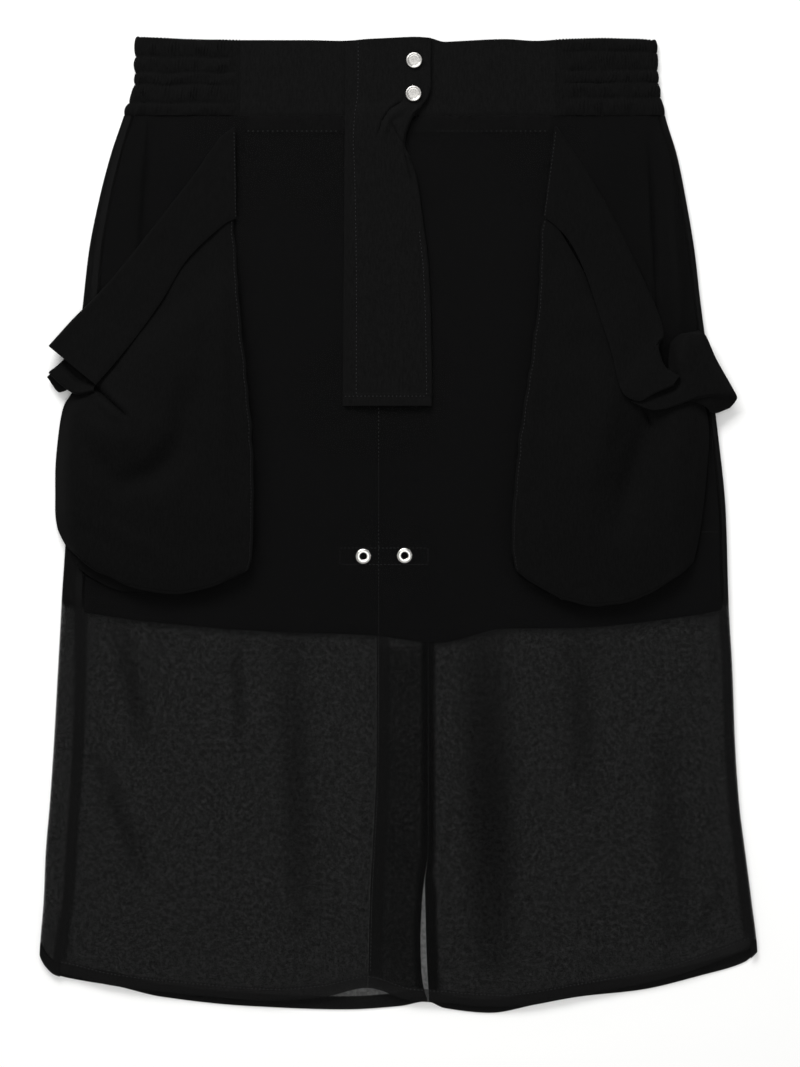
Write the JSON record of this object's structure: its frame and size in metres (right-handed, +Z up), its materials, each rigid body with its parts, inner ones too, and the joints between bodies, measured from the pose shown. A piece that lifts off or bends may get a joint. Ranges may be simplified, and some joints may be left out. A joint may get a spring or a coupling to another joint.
{
  "type": "midi skirt",
  "caption": "Midi skirt laid flat: sheer outer cloth over a shorter lining, elastic-sided waistband, snapped front placket and bellows cargo pockets with turned cuffs.",
  "frame": {"origin": "middle of the skirt's length and width, on the surface it lies on", "axes": "+Y from the hem to the waist, +X to the right in the picture, +Z up from the back panels to the front"},
  "size_m": [0.5309, 0.7199, 0.0218],
  "materials": {
    "crepe": "matt black crepe georgette, slightly sheer",
    "lining": "plain black lining",
    "snap_metal": "polished nickel-plated brass cap",
    "eyelet_metal": "polished nickel-plated ring"
  },
  "bodies": {
    "root": {"back_left": "crepe", "back_right": "crepe", "eyelet_left": "eyelet_metal", "eyelet_right": "eyelet_metal", "front_left": "crepe", "front_right": "crepe", "front_underlap": "crepe", "lining_back": "lining", "lining_front": "lining", "placket": "crepe", "pocket_left_bag": "crepe", "pocket_left_cuff": "crepe", "pocket_left_fold": "crepe", "pocket_left_gusset": "crepe", "pocket_right_bag": "crepe", "pocket_right_cuff": "crepe", "pocket_right_flap": "crepe", "pocket_right_gusset": "crepe", "snap_lower": "snap_metal", "snap_upper": "snap_metal", "waistband_back": "crepe", "waistband_elastic_left": "crepe", "waistband_elastic_right": "crepe", "waistband_front_left": "crepe", "waistband_front_right": "crepe"}
  },
  "joints": []
}
